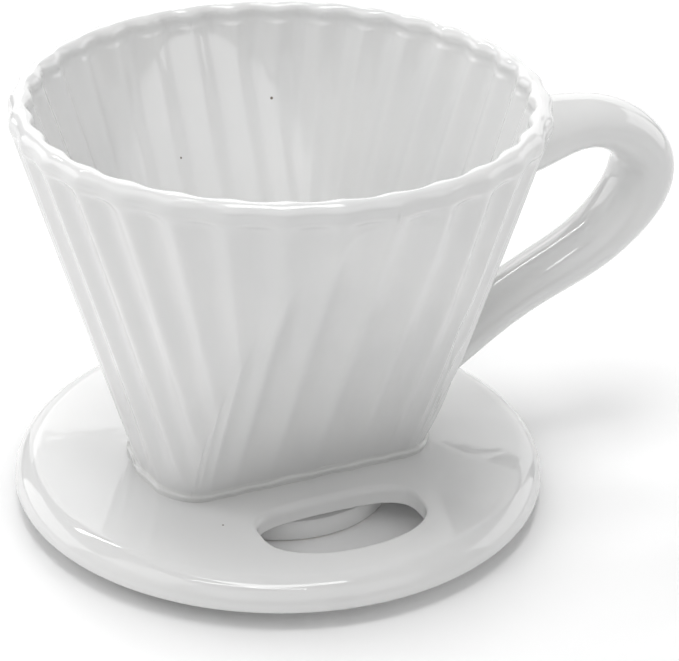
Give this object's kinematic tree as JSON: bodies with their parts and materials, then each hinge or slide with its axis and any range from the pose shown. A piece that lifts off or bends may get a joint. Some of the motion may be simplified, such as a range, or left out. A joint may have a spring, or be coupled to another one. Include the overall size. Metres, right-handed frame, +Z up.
{
  "type": "pour over coffee dripper",
  "caption": "White glazed ceramic pour over dripper: a fluted, wedge-shaped filter bowl with a loop handle on a round plate that rests on a cup.",
  "frame": {"origin": "on the table plane, under the middle of the overall length and width; the bowl's axis stands at x = -0.0197 m", "axes": "+Z up, +X along the bowl's long axis towards the loop handle, so the window slot in the plate is on the -Y side"},
  "size_m": [0.1637, 0.1244, 0.1],
  "materials": {
    "white_glaze": "gloss",
    "slip_glaze": "gloss"
  },
  "bodies": {
    "root": {"fluted_bowl": "white_glaze", "base_plate": "white_glaze", "locating_ring": "white_glaze", "loop_handle": "white_glaze", "foot_slip_bead": "slip_glaze", "upper_handle_slip_bead": "slip_glaze", "lower_handle_slip_bead": "slip_glaze"}
  },
  "joints": []
}
